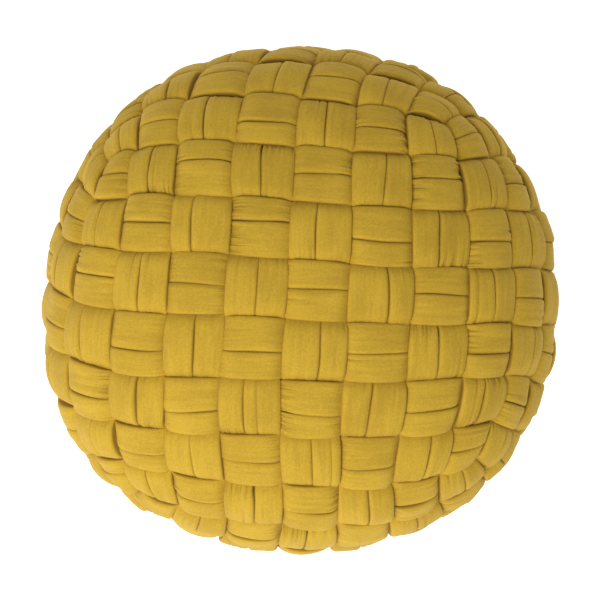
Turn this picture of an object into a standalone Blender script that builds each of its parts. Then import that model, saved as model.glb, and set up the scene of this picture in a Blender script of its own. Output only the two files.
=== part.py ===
"""Woven footstool: a round, filled pouf under a cover of wide bands, each a pair of soft flat tubes.

The bands cross one over, one under, on every side. They form a square panel on the crown and one
underneath, turned a little so that each band runs on down the side in a slow spiral. Three bands
meet at each of the eight panel corners. The solid is one filled body with the passes raised on it.

Metres, +Z up. The origin is under the middle of the stool, on the floor.
"""

import math

import bpy
import numpy as np
from mathutils import Matrix

# Driving sizes
WIDTH = 0.510             # across the round body, over the bands
HEIGHT = 0.360            # from the floor to the crown
WAIST = 0.175             # height at which the body is widest
PASS_RISE = 0.0065        # crest of a pass above the middle of the weave
SEAM_DIP = 0.0055         # seam between two passes below the middle of the weave
CORNER_DIP = 0.0035       # a further dip where four passes meet
FLOOR_SINK = 0.011        # how far the filling is pressed flat by its own weight
CROWN_FULLNESS = 2.35     # exponent of the profile above the waist, 2 is an ellipse
BASE_FULLNESS = 3.3       # the same below the waist, where the filling spreads
UNEVENNESS = 0.16         # share by which the crest of one pass differs from the next

# Layout of the weave, in bands
PANEL_CORNER = 3 + 4j     # from the middle of the square panel to its corner
SIDE_STEP = 5 + 1j        # from an upper corner down to the lower corner
STEPS = 4                 # steps across one pass
RELAX_ROUNDS = 900        # rounds of evening out
RELAX_PULL = 0.6          # share of the way that a node is moved in one round
BAND_STIFFNESS = 0.7      # how far the bands keep to one width, 0 to 1
WEAVE_TURN = 6.3          # degrees by which the crown's square panel is turned
WEAVE_SHIFT = 7.8         # degrees by which the weave's middle lies off the crown
SHIFT_TOWARDS = 230.0     # direction of that shift, degrees from +X

# Places on the crown where the weave sits further over than even bands would, seen from above
DRIFTS = (
    {"place": (0.131, 0.137), "push": (0.012, 0.018)},
    {"place": (0.138, 0.030), "push": (0.007, 0.000)},
    {"place": (0.136, -0.096), "push": (0.012, 0.000)},
    {"place": (-0.117, 0.147), "push": (-0.015, 0.000)},
    {"place": (-0.165, -0.067), "push": (0.007, -0.010)},
    {"place": (0.000, -0.193), "push": (0.005, 0.008)},
)
DRIFT_REACH = 0.090       # distance at which a drift has faded to about a third
STEEPEST = 0.35           # least upward share of the normal that a drift reckons with

# Directions in which the side stands further out than a round, or less far, seen from above
SIDE_PUSHES = (
    {"towards": 90.0, "out": -0.0055},
    {"towards": 140.0, "out": 0.0015},
    {"towards": 168.0, "out": -0.003},
    {"towards": 213.0, "out": 0.0095},
    {"towards": 270.0, "out": -0.003},
    {"towards": 315.0, "out": 0.0055},
)
SIDE_REACH = 25.0         # degrees from its direction at which a push has faded to about a third
SIDE_FADE = 3             # exponent with which the pushes fade towards the middle

# Relief of one pass at its five steps: along the band, and across its two tubes
PASS_FORM = (
    {"along": 0.00, "across": 0.00},
    {"along": 0.82, "across": 1.00},
    {"along": 1.00, "across": 0.52},
    {"along": 0.82, "across": 1.00},
    {"along": 0.00, "across": 0.00},
)

# Colour and finish
MUSTARD = (0.560, 0.370, 0.045, 1.0)
JERSEY_ROUGHNESS = 0.85

BODY_RADIUS = WIDTH / 2 - PASS_RISE
LEFT_CORNER = PANEL_CORNER * -1j
PANEL_EDGE = PANEL_CORNER - LEFT_CORNER
TO_EDGE = (PANEL_CORNER + LEFT_CORNER) / 2
UNDER_MIDDLE = 2 * TO_EDGE + SIDE_STEP
SIDES = 4
TIE = 1e-6
DIGITS = 6


def along(p, axis, other):
    """Share of the vector axis in the lattice point p, measured past the vector other."""
    return (np.conj(other) * p).imag / (np.conj(other) * axis).imag


def crown_square(p):
    """Place of a lattice point in the crown's square, -1 to 1 each way."""
    return p / TO_EDGE


def base_square(p):
    """Place of a lattice point in the square underneath, seen from above."""
    return -np.conj((p - UNDER_MIDDLE) / TO_EDGE)


def wall_place(p):
    """Place on the wall: panels round from the first, and depth from 0 to 1."""
    q = p - LEFT_CORNER
    return along(q, PANEL_EDGE, SIDE_STEP), along(q, SIDE_STEP, PANEL_EDGE)


def side_facing(q):
    """Number of the wall panel that a point beyond the square's edge has crossed into."""
    return int(round(np.angle(q) / (math.pi / 2))) % SIDES


def rough_place(region, p):
    """First guess at where a lattice point lies, on a box around the stool."""
    if region == "crown":
        q = crown_square(p)
        if max(abs(q.real), abs(q.imag)) <= 1 + TIE:
            return q.real, q.imag, 1.0
        side = side_facing(q)
        p = p * (-1j) ** side + side * PANEL_EDGE
    if region == "base":
        q = base_square(p)
        if max(abs(q.real), abs(q.imag)) <= 1 + TIE:
            return q.real, q.imag, -1.0
        side = side_facing(q)
        q = q * (-1j) ** side
        p = UNDER_MIDDLE - np.conj(q) * TO_EDGE + side * PANEL_EDGE
    around, depth = wall_place(p)
    side = math.floor(around)
    local = p - side * PANEL_EDGE
    if depth < 0:
        q = crown_square(local) * 1j ** side
        return q.real, q.imag, 1.0
    if depth > 1:
        q = base_square(local) * 1j ** side
        return q.real, q.imag, -1.0
    q = (1 + 1j * (2 * (around - side) - 1)) * 1j ** side
    return q.real, q.imag, 1 - 2 * depth


def pass_centres():
    """Middle of every crossing, as (region, lattice point)."""
    span = range(-16, 40)
    grid = [complex(i + 0.5, j + 0.5) for i in span for j in span]
    centres = []
    for p in grid:
        q = crown_square(p)
        if max(abs(q.real), abs(q.imag)) <= 1 + TIE:
            centres.append(("crown", p))
        q = base_square(p)
        if max(abs(q.real), abs(q.imag)) <= 1 + TIE:
            centres.append(("base", p))
        around, depth = wall_place(p)
        if -TIE <= around < SIDES - TIE and TIE < depth < 1 - TIE:
            centres.append(("wall", p))
    return centres


def body_shape(points):
    """Shares of the way out to the side and up or down, with reach and fullness, at each point."""
    above = points[:, 2] > 0
    reach = np.where(above, HEIGHT - PASS_RISE - WAIST, WAIST - PASS_RISE + FLOOR_SINK)
    fullness = np.where(above, CROWN_FULLNESS, BASE_FULLNESS)
    out = np.hypot(points[:, 0], points[:, 1]) / BODY_RADIUS
    return out, points[:, 2] / reach, reach, fullness


def onto_body(points):
    """Bring points onto the round body, along the line from the middle of its waist."""
    out, lift, _, fullness = body_shape(points)
    size = (out ** fullness + np.abs(lift) ** fullness) ** (1 / fullness)
    return points / size[:, None]


def outward(points):
    """Unit normals of the round body at points on it."""
    out, lift, reach, fullness = body_shape(points)
    across = np.maximum(out, TIE) ** (fullness - 2) / BODY_RADIUS ** 2
    upright = np.sign(lift) * np.abs(lift) ** (fullness - 1) / reach
    normals = np.stack([points[:, 0] * across, points[:, 1] * across, upright], axis=1)
    return normals / np.linalg.norm(normals, axis=1)[:, None]


def relaxed(points, links, stiffness):
    """Even nodes out over the body. With stiffness up to 1, their links also keep to one length."""
    starts = np.concatenate([links[:, 0], links[:, 1]])
    ends = np.concatenate([links[:, 1], links[:, 0]])
    count = np.bincount(starts, minlength=len(points))
    for _ in range(RELAX_ROUNDS):
        pull = points[ends] - points[starts]
        length = np.linalg.norm(pull, axis=1)
        pull *= (1 - stiffness * np.median(length) / length)[:, None]
        sums = [np.bincount(starts, pull[:, axis], len(points)) for axis in range(3)]
        move = RELAX_PULL * np.stack(sums, axis=1) / count[:, None]
        normals = outward(points)
        move -= normals * (move * normals).sum(axis=1)[:, None]
        points = onto_body(points + move)
    return points


def lattice():
    """Node places on the round body, and each crossing's square of node numbers."""
    places = []
    centres = pass_centres()
    for region, middle in centres:
        for i in range(STEPS + 1):
            for j in range(STEPS + 1):
                offset = complex(i, j) / STEPS - (0.5 + 0.5j)
                places.append(rough_place(region, middle + offset))
    rounded, number = np.unique(np.round(places, DIGITS) + 0.0, axis=0, return_inverse=True)
    squares = number.reshape(len(centres), STEPS + 1, STEPS + 1)
    links = np.concatenate([
        np.stack([squares[:, :-1, :], squares[:, 1:, :]], axis=-1).reshape(-1, 2),
        np.stack([squares[:, :, :-1], squares[:, :, 1:]], axis=-1).reshape(-1, 2),
    ])
    links = np.unique(np.sort(links, axis=1), axis=0)
    points = onto_body(rounded * (BODY_RADIUS, BODY_RADIUS, WAIST))
    points = relaxed(points, links, 0)
    points = relaxed(points, links, BAND_STIFFNESS)
    return points, squares


def set_off_centre(points):
    """Turn the weave on the body, and slide its middle off the crown."""
    towards = math.radians(SHIFT_TOWARDS)
    across = (-math.sin(towards), math.cos(towards), 0)
    turn = Matrix.Rotation(math.radians(WEAVE_TURN), 3, "Z")
    slide = Matrix.Rotation(math.radians(WEAVE_SHIFT), 3, across)
    return onto_body(points @ np.array(slide @ turn).T)


def crown_point(x, y):
    """Point of the round body over a place in plan."""
    out = math.hypot(x, y) / BODY_RADIUS
    rise = HEIGHT - PASS_RISE - WAIST
    return np.array([x, y, rise * (1 - out ** CROWN_FULLNESS) ** (1 / CROWN_FULLNESS)])


def drifted(points):
    """Slide the weave over the body, a little way at each of a few places."""
    normals = outward(points)
    slope = 1 / np.maximum(normals[:, 2], STEEPEST)
    moved = points.copy()
    for drift in DRIFTS:
        push = np.array([*drift["push"], 0.0])
        away = np.linalg.norm(points - crown_point(*drift["place"]), axis=1)
        share = np.exp(-(away / DRIFT_REACH) ** 2)
        moved += share[:, None] * push
        moved[:, 2] -= share * (normals @ push) * slope
    return onto_body(moved)


def out_of_round(points):
    """Push the side out or in a little in a few directions, as the filling does."""
    azimuth = np.degrees(np.arctan2(points[:, 1], points[:, 0]))
    pushed = np.zeros(len(points))
    for push in SIDE_PUSHES:
        away = (azimuth - push["towards"] + 180) % 360 - 180
        pushed += push["out"] * np.exp(-(away / SIDE_REACH) ** 2)
    out = np.hypot(points[:, 0], points[:, 1]) / BODY_RADIUS
    grown = 1 + pushed / BODY_RADIUS * out ** SIDE_FADE
    return points * np.stack([grown, grown, np.ones(len(points))], axis=1)


def who_is_over(squares):
    """For each crossing, 0 or 1: which of its two bands is on top. Every band alternates."""
    middle = STEPS // 2
    edges = {}
    for crossing, square in enumerate(squares):
        for node, way in ((square[0, middle], 0), (square[-1, middle], 0),
                          (square[middle, 0], 1), (square[middle, -1], 1)):
            edges.setdefault(node, []).append((crossing, way))
    neighbours = {}
    for (one, way_one), (two, way_two) in edges.values():
        neighbours.setdefault(one, []).append((two, way_one, way_two))
        neighbours.setdefault(two, []).append((one, way_two, way_one))
    over = {0: 1}
    queue = [0]
    for crossing in queue:
        for other, way, other_way in neighbours[crossing]:
            if other not in over:
                over[other] = 1 - other_way if over[crossing] == way else other_way
                queue.append(other)
    return [over[crossing] for crossing in range(len(squares))]


def relief(points, squares):
    """Height of every node above the middle of the weave."""
    along_band = np.array([row["along"] for row in PASS_FORM])
    across_band = np.array([row["across"] for row in PASS_FORM])
    form = np.outer(along_band, across_band)
    height = np.full(len(points), -SEAM_DIP)
    for crossing, over in enumerate(who_is_over(squares)):
        square = squares[crossing]
        unlike = 1 + UNEVENNESS * math.sin(12.9898 * crossing)
        raised = (PASS_RISE * unlike + SEAM_DIP) * (form if over == 0 else form.T)
        inner = slice(1, -1)
        height[square[inner, inner]] += raised[inner, inner]
        height[square[::STEPS, ::STEPS]] = -SEAM_DIP - CORNER_DIP
    return height


def jersey():
    """Mustard cotton jersey."""
    material = bpy.data.materials.new("jersey")
    material.use_nodes = True
    shader = material.node_tree.nodes["Principled BSDF"]
    shader.inputs["Base Color"].default_value = MUSTARD
    shader.inputs["Roughness"].default_value = JERSEY_ROUGHNESS
    shader.inputs["Metallic"].default_value = 0.0
    return material


def build_stool():
    """The filled, woven body as one closed solid."""
    points, squares = lattice()
    points = drifted(set_off_centre(points))
    points = out_of_round(points + outward(points) * relief(points, squares)[:, None])
    points[:, 2] = np.maximum(points[:, 2] + WAIST, 0)
    middle = (points.min(axis=0) + points.max(axis=0)) / 2
    points[:, :2] -= middle[:2]
    faces = []
    for square in squares:
        for i in range(STEPS):
            for j in range(STEPS):
                face = (square[i, j], square[i + 1, j], square[i + 1, j + 1], square[i, j + 1])
                faces.append([int(node) for node in face])
    mesh = bpy.data.meshes.new("woven_pouf")
    mesh.from_pydata(points.tolist(), [], faces)
    mesh.validate()
    mesh.shade_smooth()
    mesh.materials.append(jersey())
    stool = bpy.data.objects.new("woven_pouf", mesh)
    bpy.context.scene.collection.objects.link(stool)
    return stool


def main():
    for leftover in list(bpy.data.objects):
        bpy.data.objects.remove(leftover)
    build_stool()


main()
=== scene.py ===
"""Looks of the woven footstool: two endless bands of paired jersey tubes, woven round a soft body.

The weave has a square panel on the crown and one underneath, both turned a little, so that the
bands run on down the side in a slow spiral. Three bands meet at each of the eight panel corners.
"""

import math

import bpy
import numpy as np
from bpy.props import FloatProperty, FloatVectorProperty, IntProperty, PointerProperty
from mathutils import Matrix, Vector


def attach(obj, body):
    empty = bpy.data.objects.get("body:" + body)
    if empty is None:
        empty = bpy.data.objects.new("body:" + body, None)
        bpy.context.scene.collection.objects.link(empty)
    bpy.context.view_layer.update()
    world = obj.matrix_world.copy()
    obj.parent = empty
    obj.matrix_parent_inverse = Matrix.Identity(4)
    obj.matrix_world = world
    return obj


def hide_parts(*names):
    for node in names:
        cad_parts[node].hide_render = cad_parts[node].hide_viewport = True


bl_info = {
    "name": "Woven Footstool",
    "version": (1, 0, 0),
    "blender": (4, 5, 0),
    "location": "3D View > Sidebar > Footstool",
    "description": "Weaves the soft jersey bands of a round footstool",
    "category": "Object",
}

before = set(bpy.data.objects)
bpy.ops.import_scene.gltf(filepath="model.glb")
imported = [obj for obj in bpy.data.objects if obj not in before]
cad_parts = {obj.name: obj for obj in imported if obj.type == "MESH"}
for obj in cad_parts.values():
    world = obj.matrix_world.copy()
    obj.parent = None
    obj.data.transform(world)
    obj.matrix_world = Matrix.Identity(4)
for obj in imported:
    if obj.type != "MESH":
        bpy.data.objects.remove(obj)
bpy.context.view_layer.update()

# Body under the weave, in metres, as the solid has it
WIDTH = 0.510             # across the round body, over the bands
HEIGHT = 0.360            # from the floor to the crown
WAIST = 0.175             # height at which the body is widest
PASS_RISE = 0.0065        # crest of a pass above the middle of the weave
FLOOR_SINK = 0.011        # how far the filling is pressed flat by its own weight
CROWN_FULLNESS = 2.35     # exponent of the profile above the waist, 2 is an ellipse
BASE_FULLNESS = 3.3       # the same below the waist, where the filling spreads
BODY_RADIUS = WIDTH / 2 - PASS_RISE

# Layout of the weave, in bands, as the solid has it
PANEL_CORNER = 3 + 4j     # from the middle of the square panel to its corner
SIDE_STEP = 5 + 1j        # from an upper corner down to the lower corner
STEPS = 4                 # steps across one pass
RELAX_ROUNDS = 900        # rounds of evening out
RELAX_PULL = 0.6          # share of the way that a node is moved in one round
BAND_STIFFNESS = 0.7      # how far the bands keep to one width, 0 to 1
WEAVE_TURN = 6.3          # degrees by which the crown's square panel is turned
WEAVE_SHIFT = 7.8         # degrees by which the weave's middle lies off the crown
SHIFT_TOWARDS = 230.0     # direction of that shift, degrees from +X
LEFT_CORNER = PANEL_CORNER * -1j
PANEL_EDGE = PANEL_CORNER - LEFT_CORNER
TO_EDGE = (PANEL_CORNER + LEFT_CORNER) / 2
UNDER_MIDDLE = 2 * TO_EDGE + SIDE_STEP
LATTICE_SPAN = range(-16, 40)     # rows and columns that take in both squares and the wall
PASS_MIDDLE = 0.5 + 0.5j  # from the corner of a pass to its middle
SIDES = 4                 # of the square
TIE = 1e-6                # within which two measures count as the same
DIGITS = 6                # decimals in which the nodes of two passes agree where they are shared

# Places on the crown where the weave sits further over than even bands would, seen from above
DRIFTS = (
    {"place": (0.131, 0.137), "push": (0.012, 0.018)},
    {"place": (0.138, 0.030), "push": (0.007, 0.000)},
    {"place": (0.136, -0.096), "push": (0.012, 0.000)},
    {"place": (-0.117, 0.147), "push": (-0.015, 0.000)},
    {"place": (-0.165, -0.067), "push": (0.007, -0.010)},
    {"place": (0.000, -0.193), "push": (0.005, 0.008)},
)
DRIFT_REACH = 0.090       # distance at which a drift has faded to about a third
STEEPEST = 0.35           # least upward share of the normal that a drift reckons with

# Directions in which the side stands further out than a round, or less far, seen from above
SIDE_PUSHES = (
    {"towards": 90.0, "out": -0.0055},
    {"towards": 140.0, "out": 0.0015},
    {"towards": 168.0, "out": -0.003},
    {"towards": 213.0, "out": 0.0095},
    {"towards": 270.0, "out": -0.003},
    {"towards": 315.0, "out": 0.0055},
)
SIDE_REACH = 25.0         # degrees from its direction at which a push has faded to about a third
SIDE_FADE = 3             # exponent with which the pushes fade towards the middle

# Mesh of a tube
TOP_SAMPLES = np.arange(0.025, 1, 0.05)   # rings along a pass on top, as shares of its length
UNDER_SAMPLES = np.array([0.03, 0.09, 0.20, 0.50, 0.80, 0.91, 0.97])      # and along one below
POINTS_ROUND = 30         # points of one ring
TOP_CROWDING = 0.45       # how far those points crowd towards the top of the tube
FOLD_LINES = (2, 3, 4, 5, 9, 10, 11, 12)  # points of a ring along which a single fold can run
ROUGH_RADIUS = 0.01       # of the tube before its section is shaped

# Form of a pass
STEEPNESS = 3.0           # how soon a pass reaches its full height
END_WIDTH = 0.955         # share of the band's width where the pass dives or comes up
MIDDLE_WIDTH = 1.005      # the same in the middle of a pass on top
UNDER_WIDTH = 0.92        # the same in the middle of a pass below
UNDER_LIFT = 0.80         # how far a pass below is sunk, against the lift of one on top
END_THICKNESS = 0.86      # share of the thickness where the pass dives or comes up
UNDER_THICKNESS = 0.76    # the same in the middle of a pass below
SLANT = 0.45              # how much the parting wanders within a pass, against from pass to pass
OVERLAP = 0.0010          # by which each edge of a tube runs into its neighbour
TUBE_APART = 20.0         # distance between two tubes in the patterns, so that none look alike

# How far one pass differs from the next
LIFT_SPREAD = 0.12        # share of the lift
EDGE_SPREAD = 0.015       # of the right edge, as a share of the band's width
WIDTH_SPREAD = 0.010      # the same of the band's width
PARTING_SPREAD = 0.13     # of the place of the parting, as a share of the band's width
PARTING_WAVER = 0.014     # the same within a pass
PARTING_LIMITS = (0.2, 0.8)
ROLL_SPREAD = math.radians(4)             # of the two tubes together
TILT_SPREAD = math.radians(3)             # of each tube
STEP_SPREAD = 0.0010      # height between the two tubes
THICKNESS_SPREAD = 0.10   # share of the thickness
USUAL_SHARE = 0.5         # standard deviation, as a share of the spread
OUTER_SHARE = 1.2         # furthest value, as a share of the spread

# Gathers and single folds
GATHER_REACH = 0.22       # how far gathers reach from the end of a pass, as a share of its length
LEAST_GATHER = 0.04       # of an end that is hardly gathered, where 1 is gathered fully
GATHER_RARITY = 5         # the higher, the fewer of the ends are gathered strongly
FOLDED_SHARE = 0.30       # share of the passes with a single fold
FOLD_FADING = (0.2, 2.5)  # slowest and fastest fading of a fold along its pass

# Waves to a metre along, across and through a tube
STREAK_WAVES = (25.0, 300.0, 300.0)
FINE_WAVES = (60.0, 700.0, 700.0)
GRAIN_WAVES = (900.0, 1500.0, 1500.0)
CREASE_WAVES = (12.0, 140.0, 60.0)
PUCKER_WAVES = (9.0, 230.0, 80.0)

# Waves to a metre on the whole stool
CLOUD_WAVES = (22.0, 22.0, 22.0)
MOTTLE_WAVES = (550.0, 550.0, 550.0)

# Colour of the cloth, and the shade painted on it
STREAK_SHARE = 0.3        # shares of the three patterns
CLOUD_SHARE = 0.3
MOTTLE_SHARE = 0.4
SHADE_LEVEL = 0.38        # level of the patterns below which the cloth has its shade colour
FACE_LEVEL = 0.62         # level above which it has its face colour
SHADED_BELOW = -0.006       # height against the middle of the weave below which the cloth is all painted shade
LIT_ABOVE = 0.005          # height above which it has no painted shade
SEAM_SHADED_BELOW = 0.50          # the same two for the painted shade down the side of a tube, as shares of the way up
SEAM_LIT_ABOVE = 0.86
# strength of the shade painted along single folds
FOLD_PAINTED_SHADE = 0.8
FOLD_SHARPNESS = 3.0      # the higher, the sooner the painted shade along a fold fades
# strength of the shade painted in the gathers
PUCKER_PAINTED_SHADE = 0.35
PUCKER_SHARPNESS = 7.0    # of the gathers in the mesh
PUCKER_LINE = 14.0        # the same for the shade painted in the gathers, where they are narrower

# Surface of the cloth
WALE = 0.0012             # width of one column of stitches
BUMP_DEPTH = 0.0016       # depth of a relief of 1
FINE_RELIEF = 0.08
WALE_RELIEF = 0.015
GRAIN_RELIEF = 0.10
MOTTLE_RELIEF = 0.12
PUCKER_RELIEF = 0.4
ROUGHNESS = 0.80
GRAIN_ROUGHNESS = 0.15
SPECULAR = 0.25
SHEEN = 0.06
SHEEN_ROUGHNESS = 0.5
SHEEN_TINT = (1.0, 0.93, 0.70, 1.0)

# Studio
WHITE = (1.0, 1.0, 1.0, 1.0)
FLOOR_WIDTH = 12.0
FLOOR_ROUGHNESS = 0.9
FLOOR_SPECULAR = 0.1
SENSOR = 36.0

# Sockets of a Mix node set to colours
MIX_AMOUNT, MIX_ONE, MIX_OTHER, MIX_COLOUR = 0, 6, 7, 2

# Inputs of the tree that makes a tube, and the values of the path that end with it
TUBE_INPUTS = (
    ("Path", "NodeSocketGeometry"),
    ("Points round", "NodeSocketInt"),
    ("Fullness", "NodeSocketFloat"),
    ("Crease depth", "NodeSocketFloat"),
    ("Pucker depth", "NodeSocketFloat"),
    ("Fold depth", "NodeSocketFloat"),
    ("Press", "NodeSocketFloat"),
    ("Jersey", "NodeSocketMaterial"),
)
PATH_VALUES = ("heart", "side", "rise", "height", "run", "turn", "fold_line")


class WeaveSettings(bpy.types.PropertyGroup):
    """Sizes of the bands and their tubes."""

    lift: FloatProperty(
        name="Lift", description="Height of an upper pass over the middle of the weave",
        default=0.0052, min=0.0, unit="LENGTH")
    thickness: FloatProperty(
        name="Tube thickness", description="Half the thickness of a tube where it lies on top",
        default=0.0085, min=0.001, unit="LENGTH")
    sink: FloatProperty(
        name="Sink", description="How far the ends of a pass sink in at the waist",
        default=0.0035, min=0.0, unit="LENGTH")
    crown: FloatProperty(
        name="Crown", description="Tilt of the two tubes of a pass away from each other",
        default=math.radians(5), subtype="ANGLE")
    unevenness: FloatProperty(
        name="Unevenness", description="How much one pass differs from the next",
        default=1.0, min=0.0, subtype="FACTOR")
    crease: FloatProperty(
        name="Crease depth", description="Depth of the lengthwise creases",
        default=0.0006, min=0.0, unit="LENGTH")
    pucker: FloatProperty(
        name="Pucker depth", description="Depth of the gathers where a tube dives under another",
        default=0.0020, min=0.0, unit="LENGTH")
    fold: FloatProperty(
        name="Fold depth", description="Depth of the single folds along some of the passes",
        default=0.0013, min=0.0, unit="LENGTH")
    fullness: FloatProperty(
        name="Fullness",
        description="Roundness of a tube's section: 2 is an ellipse, more is flatter",
        default=5.0, min=1.5)
    press: FloatProperty(
        name="Press", description="Height over the floor below which the tubes are pressed flat",
        default=0.003, min=0.0001, unit="LENGTH")
    fill: FloatProperty(
        name="Fill", description="How tight the tubes are stuffed", default=0.7, min=0.0, max=1.0)
    seed: IntProperty(
        name="Seed", description="Which uneven weave is made", default=4, min=0)


class JerseySettings(bpy.types.PropertyGroup):
    """Colours of the cotton jersey, and of the shade painted on it."""

    face: FloatVectorProperty(
        name="Face", description="Colour of the cloth where it is full in the light",
        default=(0.680, 0.432, 0.036), subtype="COLOR", size=3)
    shade: FloatVectorProperty(
        name="Streak", description="Colour of the darker streaks along the tubes",
        default=(0.540, 0.332, 0.027), subtype="COLOR", size=3)
    # Painted shade: colour given to the cloth deep between the tubes, down their sides, along
    # folds and in gathers
    painted_shade: FloatVectorProperty(
        name="Painted shade", description="Colour deep between the tubes",
        default=(0.30, 0.175, 0.015), subtype="COLOR", size=3)


class StageSettings(bpy.types.PropertyGroup):
    """Floor, lights and camera."""

    floor: FloatVectorProperty(
        name="Floor", description="Colour of the floor", default=(0.92, 0.92, 0.92),
        subtype="COLOR", size=3)
    glow: FloatProperty(
        name="Floor glow", description="Light that the floor gives off itself",
        default=0.85, min=0.0)
    fill: FloatProperty(
        name="Fill light", description="Strength of the even light all round",
        default=0.30, min=0.0)
    key: FloatProperty(
        name="Key light", description="Power of the soft key light", default=40.0, min=0.0)
    low: FloatProperty(
        name="Low light", description="Power of the soft light below the key light",
        default=12.0, min=0.0)
    light_distance: FloatProperty(
        name="Light distance", description="Distance from the stool to both lights",
        default=2.6, min=0.5, unit="LENGTH")
    light_size: FloatProperty(
        name="Light size", description="Width of both lights", default=1.3, min=0.1, unit="LENGTH")
    key_height: FloatProperty(
        name="Key height", description="Angle of the key light above the floor",
        default=math.radians(66), subtype="ANGLE")
    low_height: FloatProperty(
        name="Low height", description="Angle of the low light above the floor",
        default=math.radians(20), subtype="ANGLE")
    side: FloatProperty(
        name="Side of the lights", description="Turn of both lights from the front to the left",
        default=math.radians(34), subtype="ANGLE")
    view_width: FloatProperty(
        name="View width", description="Width of the picture at the waist of the stool",
        default=0.594, min=0.1, unit="LENGTH")
    view_x: FloatProperty(
        name="View X", description="Place of the camera to the right of the stool's middle",
        default=-0.0005, unit="LENGTH")
    view_y: FloatProperty(
        name="View Y", description="Place of the camera behind the stool's middle",
        default=-0.0003, unit="LENGTH")
    distance: FloatProperty(
        name="Camera distance", description="Height of the camera above the waist of the stool",
        default=3.0, min=0.5, unit="LENGTH")


def along(p, axis, other):
    """Share of the vector axis in the lattice point p, measured past the vector other."""
    return (np.conj(other) * p).imag / (np.conj(other) * axis).imag


def crown_square(p):
    """Place of a lattice point in the crown's square, -1 to 1 each way."""
    return p / TO_EDGE


def base_square(p):
    """Place of a lattice point in the square underneath, seen from above."""
    return -np.conj((p - UNDER_MIDDLE) / TO_EDGE)


def wall_place(p):
    """Place on the wall: panels round from the first, and depth from 0 to 1."""
    q = p - LEFT_CORNER
    return along(q, PANEL_EDGE, SIDE_STEP), along(q, SIDE_STEP, PANEL_EDGE)


def in_square(q):
    """Whether a place in a square's own measure lies on it."""
    return max(abs(q.real), abs(q.imag)) <= 1 + TIE


def side_facing(q):
    """Number of the wall panel that a point beyond the square's edge has crossed into."""
    return int(round(np.angle(q) / (math.pi / 2))) % SIDES


def rough_place(region, p):
    """First guess at where a lattice point lies, on a box around the stool."""
    if region == "crown":
        q = crown_square(p)
        if in_square(q):
            return q.real, q.imag, 1.0
        side = side_facing(q)
        p = p * (-1j) ** side + side * PANEL_EDGE
    if region == "base":
        q = base_square(p)
        if in_square(q):
            return q.real, q.imag, -1.0
        side = side_facing(q)
        q = q * (-1j) ** side
        p = UNDER_MIDDLE - np.conj(q) * TO_EDGE + side * PANEL_EDGE
    around, depth = wall_place(p)
    side = math.floor(around)
    local = p - side * PANEL_EDGE
    if depth < 0:
        q = crown_square(local) * 1j ** side
        return q.real, q.imag, 1.0
    if depth > 1:
        q = base_square(local) * 1j ** side
        return q.real, q.imag, -1.0
    q = (1 + 1j * (2 * (around - side) - 1)) * 1j ** side
    return q.real, q.imag, 1 - 2 * depth


def pass_centres():
    """Middle of every crossing, as (region, lattice point)."""
    centres = []
    for p in [complex(i, j) + PASS_MIDDLE for i in LATTICE_SPAN for j in LATTICE_SPAN]:
        if in_square(crown_square(p)):
            centres.append(("crown", p))
        if in_square(base_square(p)):
            centres.append(("base", p))
        around, depth = wall_place(p)
        if -TIE <= around < SIDES - TIE and TIE < depth < 1 - TIE:
            centres.append(("wall", p))
    return centres


def body_shape(points):
    """Shares of the way out to the side and up or down, with reach and fullness, at each point."""
    above = points[..., 2] > 0
    reach = np.where(above, HEIGHT - PASS_RISE - WAIST, WAIST - PASS_RISE + FLOOR_SINK)
    fullness = np.where(above, CROWN_FULLNESS, BASE_FULLNESS)
    out = np.hypot(points[..., 0], points[..., 1]) / BODY_RADIUS
    return out, points[..., 2] / reach, reach, fullness


def onto_body(points):
    """Bring points onto the round body, along the line from the middle of its waist."""
    out, lift, _, fullness = body_shape(points)
    size = (out ** fullness + np.abs(lift) ** fullness) ** (1 / fullness)
    return points / size[..., None]


def unit(vectors):
    """The vectors at a length of 1."""
    return vectors / np.linalg.norm(vectors, axis=-1)[..., None]


def outward(points):
    """Unit normals of the round body at points on it."""
    out, lift, reach, fullness = body_shape(points)
    across = np.maximum(out, TIE) ** (fullness - 2) / BODY_RADIUS ** 2
    upright = np.sign(lift) * np.abs(lift) ** (fullness - 1) / reach
    return unit(np.stack([points[..., 0] * across, points[..., 1] * across, upright], axis=-1))


def relaxed(points, links, stiffness):
    """Even nodes out over the body. With stiffness, up to 1, their links keep to one length."""
    starts = np.concatenate([links[:, 0], links[:, 1]])
    ends = np.concatenate([links[:, 1], links[:, 0]])
    count = np.bincount(starts, minlength=len(points))
    for _ in range(RELAX_ROUNDS):
        pull = points[ends] - points[starts]
        length = np.linalg.norm(pull, axis=1)
        pull *= (1 - stiffness * np.median(length) / length)[:, None]
        sums = [np.bincount(starts, pull[:, axis], len(points)) for axis in range(3)]
        move = RELAX_PULL * np.stack(sums, axis=1) / count[:, None]
        normals = outward(points)
        move -= normals * (move * normals).sum(axis=1)[:, None]
        points = onto_body(points + move)
    return points


def lattice():
    """Node places on the round body, and each crossing's square of node numbers."""
    places = []
    centres = pass_centres()
    for region, middle in centres:
        for i in range(STEPS + 1):
            for j in range(STEPS + 1):
                offset = complex(i, j) / STEPS - PASS_MIDDLE
                places.append(rough_place(region, middle + offset))
    rounded, number = np.unique(np.round(places, DIGITS) + 0.0, axis=0, return_inverse=True)
    squares = number.reshape(len(centres), STEPS + 1, STEPS + 1)
    links = np.concatenate([
        np.stack([squares[:, :-1, :], squares[:, 1:, :]], axis=-1).reshape(-1, 2),
        np.stack([squares[:, :, :-1], squares[:, :, 1:]], axis=-1).reshape(-1, 2),
    ])
    links = np.unique(np.sort(links, axis=1), axis=0)
    points = onto_body(rounded * (BODY_RADIUS, BODY_RADIUS, WAIST))
    points = relaxed(points, links, 0)
    points = relaxed(points, links, BAND_STIFFNESS)
    return points, squares


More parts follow.
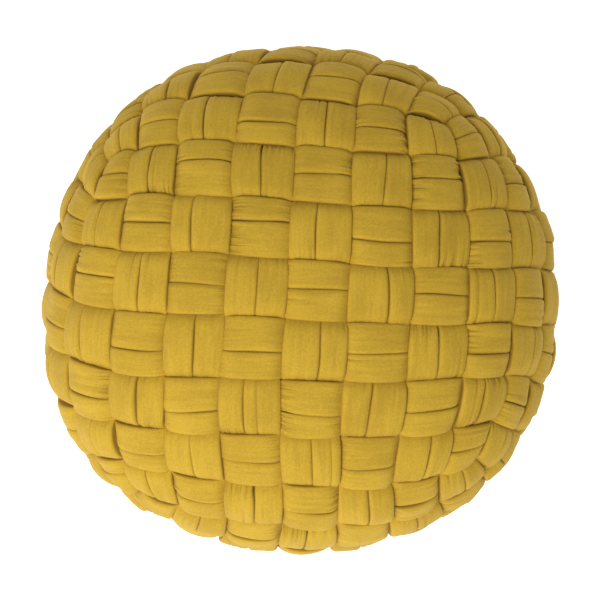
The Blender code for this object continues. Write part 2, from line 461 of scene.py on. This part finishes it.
def set_off_centre(points):
    """Turn the weave on the body, and slide its middle off the crown."""
    towards = math.radians(SHIFT_TOWARDS)
    across = (-math.sin(towards), math.cos(towards), 0)
    turn = Matrix.Rotation(math.radians(WEAVE_TURN), 3, "Z")
    slide = Matrix.Rotation(math.radians(WEAVE_SHIFT), 3, across)
    return onto_body(points @ np.array(slide @ turn).T)


def crown_point(x, y):
    """Point of the round body over a place in plan."""
    out = math.hypot(x, y) / BODY_RADIUS
    rise = HEIGHT - PASS_RISE - WAIST
    return np.array([x, y, rise * (1 - out ** CROWN_FULLNESS) ** (1 / CROWN_FULLNESS)])


def drifted(points):
    """Slide the weave over the body, a little way at each of a few places."""
    normals = outward(points)
    slope = 1 / np.maximum(normals[:, 2], STEEPEST)
    moved = points.copy()
    for drift in DRIFTS:
        push = np.array([*drift["push"], 0.0])
        away = np.linalg.norm(points - crown_point(*drift["place"]), axis=1)
        share = np.exp(-(away / DRIFT_REACH) ** 2)
        moved += share[:, None] * push
        moved[:, 2] -= share * (normals @ push) * slope
    return onto_body(moved)


def out_of_round(points):
    """Push the side out or in a little in a few directions, as the filling does."""
    azimuth = np.degrees(np.arctan2(points[:, 1], points[:, 0]))
    pushed = np.zeros(len(points))
    for push in SIDE_PUSHES:
        away = (azimuth - push["towards"] + 180) % 360 - 180
        pushed += push["out"] * np.exp(-(away / SIDE_REACH) ** 2)
    out = np.hypot(points[:, 0], points[:, 1]) / BODY_RADIUS
    grown = 1 + pushed / BODY_RADIUS * out ** SIDE_FADE
    return points * np.stack([grown, grown, np.ones(len(points))], axis=1)


def edge_nodes(square):
    """Middle nodes of a crossing's four edges, and how a band that leaves by each one runs."""
    middle = STEPS // 2
    return {0: square[-1, middle], 1: square[middle, 0],
            2: square[0, middle], 3: square[middle, -1]}


def endless_bands(squares):
    """Every band as its passes in order: (crossing, quarter turns of its square, on top)."""
    doors = {}
    for crossing, square in enumerate(squares):
        for way, node in edge_nodes(square).items():
            doors.setdefault(int(node), []).append((crossing, way))
    on_top = {}
    bands = []
    waiting = [(0, 1, True)]
    for start, way, top in waiting:
        if (start, way % 2) in on_top:
            continue
        crossing = start
        passes = []
        while (crossing, way % 2) not in on_top:
            on_top[(crossing, way % 2)] = top
            passes.append((crossing, way, top))
            waiting.append((crossing, way + 1, not top))
            node = int(edge_nodes(squares[crossing])[way % 4])
            here, there = doors[node]
            crossing, door = there if here == (crossing, way % 4) else here
            way = (door + 2) % 4
            top = not top
        bands.append(passes)
    return bands


def ladder(points, squares, passes):
    """Five lines of points along a band, from its right edge to its left, round the whole loop."""
    rungs = []
    for crossing, way, _ in passes:
        square = np.rot90(squares[crossing], way)
        rungs.append(square[:-1])
    return points[np.concatenate(rungs)]


def smooth_between(values, at):
    """Values of a closed list at places between its members, through a smooth curve."""
    index = np.floor(at).astype(int)
    t = (at - index).reshape((-1,) + (1,) * (values.ndim - 1))
    a, b, c, d = (values[(index + k) % len(values)] for k in (-1, 0, 1, 2))
    curve = (c - a) * t + (2 * a - 5 * b + 4 * c - d) * t ** 2 + (3 * (b - c) + d - a) * t ** 3
    return b + curve / 2


class Graph:
    """A node tree that is filled with one call for each node."""

    def __init__(self, tree):
        """Start on the tree as it is."""
        self.tree = tree

    def node(self, kind, settings=None, inputs=None):
        """Add a node, set its settings, then its sockets, each to a number or to a link."""
        node = self.tree.nodes.new(kind)
        for name, setting in (settings or {}).items():
            setattr(node, name, setting)
        for name, given in (inputs or {}).items():
            if isinstance(given, Value):
                self.tree.links.new(given.socket, node.inputs[name])
            else:
                node.inputs[name].default_value = given
        return node

    def value(self, kind, settings=None, inputs=None, output=0):
        """Add a node and give one of its outputs."""
        return Value(self, self.node(kind, settings, inputs).outputs[output])

    def math(self, operation, *operands):
        """Add a Math node on numbers."""
        inputs = dict(enumerate(operands))
        return self.value("ShaderNodeMath", {"operation": operation}, inputs)

    def vector(self, operation, *operands):
        """Add a Vector Math node that gives a vector."""
        inputs = dict(enumerate(operands))
        return self.value("ShaderNodeVectorMath", {"operation": operation}, inputs)


class Value:
    """An output socket. Sums on it add Math nodes."""

    def __init__(self, graph, socket):
        self.graph = graph
        self.socket = socket

    def __add__(self, other):
        return self.graph.math("ADD", self, other)

    def __sub__(self, other):
        return self.graph.math("SUBTRACT", self, other)

    def __rsub__(self, other):
        return self.graph.math("SUBTRACT", other, self)

    def __mul__(self, other):
        return self.graph.math("MULTIPLY", self, other)

    def __truediv__(self, other):
        return self.graph.math("DIVIDE", self, other)

    def __rtruediv__(self, other):
        return self.graph.math("DIVIDE", other, self)

    def __pow__(self, other):
        return self.graph.math("POWER", self, other)

    __radd__ = __add__
    __rmul__ = __mul__


def from_attribute(graph, name, kind):
    """A named attribute of the geometry, FLOAT or FLOAT_VECTOR."""
    return graph.value("GeometryNodeInputNamedAttribute", {"data_type": kind}, {"Name": name})


def stored(graph, geometry, name, kind, value):
    """The geometry, with a value kept on its points as a named attribute."""
    return graph.value("GeometryNodeStoreNamedAttribute", {"data_type": kind, "domain": "POINT"},
                       {"Geometry": geometry, "Name": name, "Value": value})


def scaled(graph, vector, factor):
    """A vector times a number."""
    return graph.value("ShaderNodeVectorMath", {"operation": "SCALE"},
                       {0: vector, "Scale": factor})


def length_of(graph, vector):
    """Length of a vector."""
    return graph.value("ShaderNodeVectorMath", {"operation": "LENGTH"}, {0: vector}, "Value")


def noise(graph, vector, waves, detail, roughness=0.5):
    """Noise on a vector in metres, with its number of waves to a metre in each direction."""
    return graph.value("ShaderNodeTexNoise", {"noise_dimensions": "3D"},
                       {"Vector": graph.vector("MULTIPLY", vector, waves), "Scale": 1.0,
                        "Detail": detail, "Roughness": roughness})


def furrows(graph, cloth, sharpness):
    """Lengthwise furrows of gathered cloth, 1 at the bottom of each. The sharper, the narrower."""
    waves = noise(graph, cloth, PUCKER_WAVES, 1.0)
    return graph.math("MAXIMUM", 1 - graph.math("ABSOLUTE", waves - 0.5) * sharpness, 0.0)


def rough_tube(graph, asked):
    """A tube round the path, with each point's share of the way round kept as its turn."""
    path = graph.value("GeometryNodeMeshToCurve", inputs={"Mesh": asked["Path"]})
    circle = graph.value("GeometryNodeCurvePrimitiveCircle", {"mode": "RADIUS"},
                         {"Resolution": asked["Points round"], "Radius": ROUGH_RADIUS})
    turn = graph.value("GeometryNodeInputIndex") / asked["Points round"]
    profile = stored(graph, circle, "turn", "FLOAT", turn)
    return graph.value("GeometryNodeCurveToMesh", inputs={"Curve": path, "Profile Curve": profile})


def shaped_tube(graph, tube, fullness):
    """The tube with its soft section, and each point's place on the cloth kept with it."""
    even = from_attribute(graph, "turn", "FLOAT") * math.tau
    angle = even + graph.math("COSINE", even) * TOP_CROWDING
    across = graph.math("COSINE", angle)
    rest = graph.math("MAXIMUM", 1 - graph.math("ABSOLUTE", across) ** fullness, 0.0)
    upward = graph.math("SIGN", graph.math("SINE", angle)) * rest ** (1 / fullness)
    side = from_attribute(graph, "side", "FLOAT_VECTOR")
    rise = from_attribute(graph, "rise", "FLOAT_VECTOR")
    offset = graph.vector("ADD", scaled(graph, side, across), scaled(graph, rise, upward))
    place = graph.vector("ADD", from_attribute(graph, "heart", "FLOAT_VECTOR"), offset)
    tube = graph.value("GeometryNodeSetPosition", inputs={"Geometry": tube, "Position": place})

    stand = upward * length_of(graph, rise)
    cloth = graph.value("ShaderNodeCombineXYZ", inputs={
        "X": from_attribute(graph, "run", "FLOAT"),
        "Y": across * length_of(graph, side),
        "Z": stand})
    lift = from_attribute(graph, "height", "FLOAT") + stand
    tube = stored(graph, tube, "cloth", "FLOAT_VECTOR", cloth)
    tube = stored(graph, tube, "lift", "FLOAT", lift)
    return stored(graph, tube, "open", "FLOAT", upward)


def creased_tube(graph, tube, asked):
    """The tube with its fine creases, its gathers and its single folds sunk in."""
    cloth = from_attribute(graph, "cloth", "FLOAT_VECTOR")
    at_point = from_attribute(graph, "turn", "FLOAT") * POINTS_ROUND
    away = graph.math("ABSOLUTE", at_point - from_attribute(graph, "fold_line", "FLOAT"))
    on_line = graph.math("LESS_THAN", away, 0.5)
    fold = on_line * from_attribute(graph, "fold", "FLOAT")
    tube = stored(graph, tube, "fold", "FLOAT", fold)
    creases = (noise(graph, cloth, CREASE_WAVES, 2.0) - 0.5) * asked["Crease depth"] * 2
    gather = from_attribute(graph, "gather", "FLOAT")
    gathers = furrows(graph, cloth, PUCKER_SHARPNESS) * asked["Pucker depth"] * gather
    folds = from_attribute(graph, "fold", "FLOAT") * asked["Fold depth"]
    offset = scaled(graph, graph.value("GeometryNodeInputNormal"), creases - gathers - folds)
    return graph.value("GeometryNodeSetPosition", inputs={"Geometry": tube, "Offset": offset})


def pressed_tube(graph, tube, press):
    """The tube with all that lies below the press height pressed flat towards the floor."""
    position = graph.value("GeometryNodeInputPosition")
    parts = graph.node("ShaderNodeSeparateXYZ", inputs={0: position})
    x, y, z = (Value(graph, socket) for socket in parts.outputs)
    over = z - press
    pressed = graph.math("EXPONENT", graph.math("MINIMUM", over, 0.0) / press) * press
    z = pressed + graph.math("MAXIMUM", over, 0.0)
    place = graph.value("ShaderNodeCombineXYZ", inputs={"X": x, "Y": y, "Z": z})
    return graph.value("GeometryNodeSetPosition", inputs={"Geometry": tube, "Position": place})


def tube_tree():
    """Geometry Nodes that wrap a soft, creased tube round the points of a path."""
    tree = bpy.data.node_groups.new("soft_tube", "GeometryNodeTree")
    tree.is_modifier = True
    tree.interface.new_socket("Geometry", in_out="OUTPUT", socket_type="NodeSocketGeometry")
    for name, kind in TUBE_INPUTS:
        tree.interface.new_socket(name, in_out="INPUT", socket_type=kind)
    graph = Graph(tree)
    given = graph.node("NodeGroupInput")
    asked = {socket.name: Value(graph, socket) for socket in given.outputs if socket.name}
    tube = shaped_tube(graph, rough_tube(graph, asked), asked["Fullness"])
    tube = creased_tube(graph, tube, asked)
    tube = pressed_tube(graph, tube, asked["Press"])
    for name in PATH_VALUES:
        tube = graph.value("GeometryNodeRemoveAttribute", inputs={"Geometry": tube, "Name": name})
    tube = graph.value("GeometryNodeSetShadeSmooth", inputs={"Geometry": tube})
    tube = graph.value("GeometryNodeRealizeInstances", inputs={"Geometry": tube})
    tube = graph.value("GeometryNodeSetMaterial",
                       inputs={"Geometry": tube, "Material": asked["Jersey"]})
    graph.node("NodeGroupOutput", inputs={"Geometry": tube})
    return tree


def on_cloth(graph, name, output="Fac"):
    """A value that the cloth of a tube carries, in its material."""
    return graph.value("ShaderNodeAttribute", {"attribute_name": name}, output=output)


def turning(graph, value, low, high):
    """0 below low, 1 above high, and smooth in between."""
    return graph.value("ShaderNodeMapRange", {"interpolation_type": "SMOOTHSTEP", "clamp": True},
                       {"Value": value, "From Min": low, "From Max": high})


def blended(graph, amount, one, other):
    """The colour one, turning to the other as the amount goes from 0 to 1."""
    return graph.value("ShaderNodeMix", {"data_type": "RGBA"},
                       {MIX_AMOUNT: amount, MIX_ONE: one, MIX_OTHER: other}, MIX_COLOUR)


def jersey(colours):
    """Cotton jersey: streaks and fine wales along the tube, and painted shade deep between the
    tubes, down their sides, along folds and in gathers.
    """
    material = bpy.data.materials.new("jersey")
    material.use_nodes = True
    material.node_tree.nodes.clear()
    graph = Graph(material.node_tree)
    cloth = on_cloth(graph, "cloth", "Vector")
    place = graph.value("ShaderNodeTexCoord", output="Object")
    streaks = noise(graph, cloth, STREAK_WAVES, 3.0, 0.6)
    cloudy = noise(graph, place, CLOUD_WAVES, 2.0)
    mottle = noise(graph, place, MOTTLE_WAVES, 2.0, 0.7)
    grain = noise(graph, cloth, GRAIN_WAVES, 1.0)
    fine = noise(graph, cloth, FINE_WAVES, 2.0)
    # The gathers are real relief in the bump, and painted shade in the colour
    pucker = furrows(graph, cloth, PUCKER_LINE) * on_cloth(graph, "gather")

    mixed = streaks * STREAK_SHARE + cloudy * CLOUD_SHARE + mottle * MOTTLE_SHARE
    colour = blended(graph, turning(graph, mixed, SHADE_LEVEL, FACE_LEVEL),
                     (*colours.shade, 1.0), (*colours.face, 1.0))
    # Painted shade: the cloth turns to the painted-shade colour deep in the weave, down the sides
    # of each tube and along single folds
    seam_lit = turning(graph, on_cloth(graph, "open"), SEAM_SHADED_BELOW, SEAM_LIT_ABOVE)
    fold_lit = 1 - on_cloth(graph, "fold") ** FOLD_SHARPNESS * FOLD_PAINTED_SHADE
    in_light = turning(graph, on_cloth(graph, "lift"), SHADED_BELOW, LIT_ABOVE) * fold_lit * seam_lit
    painted_shade = (*colours.painted_shade, 1.0)
    colour = blended(graph, in_light, painted_shade, colour)
    # Painted shade in the furrows of the gathers
    colour = blended(graph, pucker * PUCKER_PAINTED_SHADE, colour, painted_shade)

    parts = graph.node("ShaderNodeSeparateXYZ", inputs={0: cloth})
    wales = graph.math("SINE", Value(graph, parts.outputs["Y"]) * (math.tau / WALE))
    surface = (fine * FINE_RELIEF + wales * WALE_RELIEF + grain * GRAIN_RELIEF
               + mottle * MOTTLE_RELIEF - pucker * PUCKER_RELIEF)
    bump = graph.value("ShaderNodeBump", inputs={
        "Strength": 1.0, "Distance": BUMP_DEPTH, "Height": surface})
    shader = graph.value("ShaderNodeBsdfPrincipled", inputs={
        "Base Color": colour, "Roughness": ROUGHNESS + grain * GRAIN_ROUGHNESS, "Normal": bump,
        "Specular IOR Level": SPECULAR, "Sheen Weight": SHEEN,
        "Sheen Roughness": SHEEN_ROUGHNESS, "Sheen Tint": SHEEN_TINT})
    graph.node("ShaderNodeOutputMaterial", inputs={"Surface": shader})
    return material


def uneven(rng, count, spread):
    """Random values for count places, nearly all within spread of 0."""
    return spread * np.clip(rng.normal(0.0, USUAL_SHARE, count), -OUTER_SHARE, OUTER_SHARE)


def samples_along(passes):
    """Places along a loop, counted in passes, closer together where the band lies on top."""
    run = []
    for number, (_, _, top) in enumerate(passes):
        run.extend(number + (TOP_SAMPLES if top else UNDER_SAMPLES))
    return np.array(run)


def across_rungs(rungs, share):
    """Point on each rung, at a share of the way from its right end to its left."""
    place = np.clip(share * STEPS, 0, STEPS - TIE)
    column = place.astype(int)
    part = (place - column)[:, None]
    row = np.arange(len(rungs))
    return rungs[row, column] * (1 - part) + rungs[row, column + 1] * part


def gathered(rng, run, count):
    """How far the cloth is gathered: most near some of the places where a tube dives under."""
    ends = LEAST_GATHER + (1 - LEAST_GATHER) * rng.random(count) ** GATHER_RARITY
    nearest = np.round(run)
    near = np.exp(-((run - nearest) / GATHER_REACH) ** 2)
    return ends[nearest.astype(int) % count] * near


def single_folds(rng, run, count):
    """Point of the ring that a single fold runs along, or -1, and how deep the fold is there."""
    folded = rng.random(count) < FOLDED_SHARE
    line = np.where(folded, rng.choice(FOLD_LINES, count), -1)
    start = rng.integers(0, 2, count)
    fading = rng.uniform(*FOLD_FADING, count)
    number = run.astype(int)
    depth = 1 - fading[number] * np.abs(run % 1 - start[number])
    return line[number].astype(float), np.clip(depth, 0, 1)


def band_of_two(lines, passes, weave, seed):
    """Paths of the two tubes of a band: for each, its points with what the tree needs there."""
    rng = np.random.default_rng(seed)
    count = len(passes)
    run = samples_along(passes)
    rungs = smooth_between(lines, run * STEPS)
    widths = np.linalg.norm(np.diff(rungs, axis=1), axis=2).sum(axis=1)
    place = run % 1
    swell = np.sin(math.pi * place)
    wave = np.tanh(STEEPNESS * swell) / np.tanh(STEEPNESS)
    top = np.array([on_top for _, _, on_top in passes])[run.astype(int)]
    held = run + (SLANT - 1) * np.where(top, place - 0.5, 0.5 - place)

    def by_pass(spread, finer=1, at=run):
        """Random values, smooth along the run, one or more to a pass."""
        drawn = uneven(rng, count * finer, spread * weave.unevenness)
        return smooth_between(drawn, at * finer - 0.5)

    on_top = weave.lift * (1 + by_pass(LIFT_SPREAD))
    lift = np.where(top, on_top, -weave.lift * UNDER_LIFT) * wave
    full = END_WIDTH + np.where(top, (MIDDLE_WIDTH - END_WIDTH) * np.sqrt(swell),
                                (UNDER_WIDTH - END_WIDTH) * swell)
    plump = np.where(top, 1 - END_THICKNESS, UNDER_THICKNESS - END_THICKNESS) * swell
    thickness = weave.thickness * (END_THICKNESS + plump)
    right = 0.5 - full / 2 + by_pass(EDGE_SPREAD)
    left = right + full + by_pass(WIDTH_SPREAD)
    parting = 0.5 + by_pass(PARTING_SPREAD, at=held) + by_pass(PARTING_WAVER, 2)
    split = right + (left - right) * np.clip(parting, *PARTING_LIMITS)
    roll = by_pass(ROLL_SPREAD)
    step = by_pass(STEP_SPREAD, 2)

    paths = []
    for inner, outer, way in ((split, right, 1), (split, left, -1)):
        middle = across_rungs(rungs, (inner + outer) / 2)
        normal = outward(middle)
        side = across_rungs(rungs, np.maximum(inner, outer)) - across_rungs(
            rungs, np.minimum(inner, outer))
        side = unit(side - normal * (side * normal).sum(axis=1)[:, None])
        half_width = np.abs(inner - outer) / 2 * widths + OVERLAP
        tilt = way * weave.crown + roll + by_pass(TILT_SPREAD)
        half_thickness = thickness * (1 + by_pass(THICKNESS_SPREAD))
        height = lift + way * step + np.sin(roll) * ((inner + outer) / 2 - 0.5) * widths
        level = height - weave.lift - weave.thickness + PASS_RISE
        level -= weave.sink * (1 - swell) * (1 - np.abs(normal[:, 2]))
        heart = middle + normal * level[:, None]
        heart[:, 2] += WAIST
        travelled = np.linalg.norm(np.diff(heart, axis=0, prepend=heart[-1:]), axis=1).cumsum()
        gather = gathered(rng, run, count)
        fold_line, fold = single_folds(rng, run, count)
        flat, upright = np.cos(tilt)[:, None], np.sin(tilt)[:, None]
        paths.append({
            "heart": heart,
            "side": (side * flat + normal * upright) * half_width[:, None],
            "rise": (normal * flat - side * upright) * half_thickness[:, None],
            "height": height,
            "gather": gather,
            "fold_line": fold_line,
            "fold": fold,
            "run": travelled + TUBE_APART * (2 * seed + len(paths)),
        })
    return paths


def path_object(name, path):
    """A closed chain of points that carries the path's values as attributes."""
    count = len(path["heart"])
    mesh = bpy.data.meshes.new(name)
    links = [(index, (index + 1) % count) for index in range(count)]
    mesh.from_pydata(path["heart"].tolist(), links, [])
    for attribute, values in path.items():
        vectors = values.ndim == 2
        kind, slot = ("FLOAT_VECTOR", "vector") if vectors else ("FLOAT", "value")
        mesh.attributes.new(attribute, kind, "POINT").data.foreach_set(slot, values.ravel())
    piece = bpy.data.objects.new(name, mesh)
    bpy.context.scene.collection.objects.link(piece)
    return piece


def face_outwards(mesh):
    """Turn every face over if the closed mesh is inside out."""
    mesh.calc_loop_triangles()
    points = np.empty(len(mesh.vertices) * 3)
    mesh.vertices.foreach_get("co", points)
    points = points.reshape(-1, 3)
    triangles = np.empty(len(mesh.loop_triangles) * 3, dtype=int)
    mesh.loop_triangles.foreach_get("vertices", triangles)
    a, b, c = (points[triangles.reshape(-1, 3)[:, corner]] for corner in range(3))
    if (a * np.cross(b, c)).sum() < 0:
        mesh.flip_normals()


def apply_tree(piece, tree, inputs):
    """Run a Geometry Nodes tree on the piece, with its inputs by name, and keep the plain mesh."""
    modifier = piece.modifiers.new(tree.name, "NODES")
    modifier.node_group = tree
    for item in tree.interface.items_tree:
        if item.in_out == "INPUT" and item.name in inputs:
            modifier[item.identifier] = inputs[item.name]
    evaluated = piece.evaluated_get(bpy.context.evaluated_depsgraph_get())
    mesh = bpy.data.meshes.new_from_object(evaluated)
    piece.modifiers.remove(modifier)
    piece.data = mesh
    mesh.name = piece.name
    face_outwards(mesh)


def set_in_place(meshes):
    """Give meshes made on the round body the stool's own outline, centred over the origin."""
    shaped = []
    for mesh in meshes:
        points = np.empty(len(mesh.vertices) * 3)
        mesh.vertices.foreach_get("co", points)
        shaped.append(out_of_round(points.reshape(-1, 3)))
    lowest = np.min([points.min(axis=0) for points in shaped], axis=0)
    highest = np.max([points.max(axis=0) for points in shaped], axis=0)
    middle = (lowest + highest) / 2 * (1, 1, 0)
    for mesh, points in zip(meshes, shaped):
        mesh.vertices.foreach_set("co", (points - middle).ravel())
        mesh.update()


class FOOTSTOOL_OT_bands(bpy.types.Operator):
    """Weave the two endless bands of paired tubes round the body"""

    bl_idname = "footstool.bands"
    bl_label = "Bands"

    def execute(self, context):
        weave = context.scene.footstool_weave
        points, squares = lattice()
        points = drifted(set_off_centre(points))
        tree = tube_tree()
        cloth = jersey(context.scene.footstool_jersey)
        inputs = {
            "Points round": POINTS_ROUND,
            "Fullness": weave.fullness,
            "Crease depth": weave.crease,
            "Pucker depth": weave.pucker,
            "Fold depth": weave.fold,
            "Press": weave.press,
            "Jersey": cloth,
        }
        tubes = []
        for number, passes in enumerate(endless_bands(squares)):
            lines = ladder(points, squares, passes)
            for letter, path in zip("ab", band_of_two(lines, passes, weave, weave.seed + number)):
                tube = path_object(f"band_{number + 1}_tube_{letter}", path)
                apply_tree(tube, tree, inputs)
                tubes.append(tube)
        set_in_place([tube.data for tube in tubes])
        for tube in tubes:
            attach(tube, "root")
            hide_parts("woven_pouf")
        return {"FINISHED"}


def lay_floor(look):
    """A wide, pale floor with a little light of its own, as on a photo table."""
    material = bpy.data.materials.new("floor")
    material.use_nodes = True
    material.node_tree.nodes.clear()
    graph = Graph(material.node_tree)
    shader = graph.value("ShaderNodeBsdfPrincipled", inputs={
        "Base Color": (*look.floor, 1.0), "Roughness": FLOOR_ROUGHNESS,
        "Specular IOR Level": FLOOR_SPECULAR,
        "Emission Color": WHITE, "Emission Strength": look.glow})
    graph.node("ShaderNodeOutputMaterial", inputs={"Surface": shader})
    half = FLOOR_WIDTH / 2
    corners = [(-half, -half, 0), (half, -half, 0), (half, half, 0), (-half, half, 0)]
    mesh = bpy.data.meshes.new("floor")
    mesh.from_pydata(corners, [], [(0, 1, 2, 3)])
    mesh.materials.append(material)
    floor = bpy.data.objects.new("floor", mesh)
    bpy.context.scene.collection.objects.link(floor)


def light_all_round(strength):
    """Even white light from everywhere."""
    world = bpy.data.worlds.new("studio")
    world.use_nodes = True
    sky = world.node_tree.nodes["Background"]
    sky.inputs["Color"].default_value = WHITE
    sky.inputs["Strength"].default_value = strength
    bpy.context.scene.world = world


def soft_light(name, power, size, place, target):
    """A square soft light, facing the target."""
    light = bpy.data.lights.new(name, "AREA")
    light.energy = power
    light.shape = "SQUARE"
    light.size = size
    lamp = bpy.data.objects.new(name, light)
    lamp.location = place
    lamp.rotation_euler = (target - place).to_track_quat("-Z", "Y").to_euler()
    bpy.context.scene.collection.objects.link(lamp)


def set_camera(look):
    """A camera over the stool, looking straight down."""
    lens = bpy.data.cameras.new("camera")
    lens.sensor_width = SENSOR
    lens.lens = SENSOR * look.distance / look.view_width
    camera = bpy.data.objects.new("camera", lens)
    camera.location = (look.view_x, look.view_y, WAIST + look.distance)
    bpy.context.scene.collection.objects.link(camera)
    bpy.context.scene.camera = camera


class FOOTSTOOL_OT_stage(bpy.types.Operator):
    """Lay the floor, hang the lights and set the camera"""

    bl_idname = "footstool.stage"
    bl_label = "Stage"

    def execute(self, context):
        look = context.scene.footstool_stage
        lay_floor(look)
        light_all_round(look.fill)
        middle = Vector((0, 0, WAIST))
        to_the_left = Matrix.Rotation(-look.side, 3, "Z")
        for name, power, height in (("key", look.key, look.key_height),
                                    ("low", look.low, look.low_height)):
            towards = to_the_left @ Vector((0, -math.cos(height), math.sin(height)))
            place = towards * look.light_distance + middle
            soft_light(name, power, look.light_size, place, middle)
        set_camera(look)
        context.scene.view_settings.view_transform = "Standard"
        return {"FINISHED"}


class FOOTSTOOL_PT_panel(bpy.types.Panel):
    """Sizes, colours and steps of the footstool"""

    bl_label = "Woven Footstool"
    bl_idname = "FOOTSTOOL_PT_panel"
    bl_space_type = "VIEW_3D"
    bl_region_type = "UI"
    bl_category = "Footstool"

    def draw(self, context):
        scene = context.scene
        for settings, steps in ((scene.footstool_weave, ()),
                                (scene.footstool_jersey, (FOOTSTOOL_OT_bands,)),
                                (scene.footstool_stage, (FOOTSTOOL_OT_stage,))):
            box = self.layout.box()
            for name in settings.__annotations__:
                box.prop(settings, name)
            for step in steps:
                box.operator(step.bl_idname)


CLASSES = (WeaveSettings, JerseySettings, StageSettings, FOOTSTOOL_OT_bands, FOOTSTOOL_OT_stage,
           FOOTSTOOL_PT_panel)


def register():
    for each in CLASSES:
        bpy.utils.register_class(each)
    bpy.types.Scene.footstool_weave = PointerProperty(type=WeaveSettings)
    bpy.types.Scene.footstool_jersey = PointerProperty(type=JerseySettings)
    bpy.types.Scene.footstool_stage = PointerProperty(type=StageSettings)


def unregister():
    del bpy.types.Scene.footstool_weave
    del bpy.types.Scene.footstool_jersey
    del bpy.types.Scene.footstool_stage
    for each in reversed(CLASSES):
        bpy.utils.unregister_class(each)


def main():
    register()
    bpy.ops.footstool.bands()
    bpy.ops.footstool.stage()


if __name__ == "__main__":
    main()
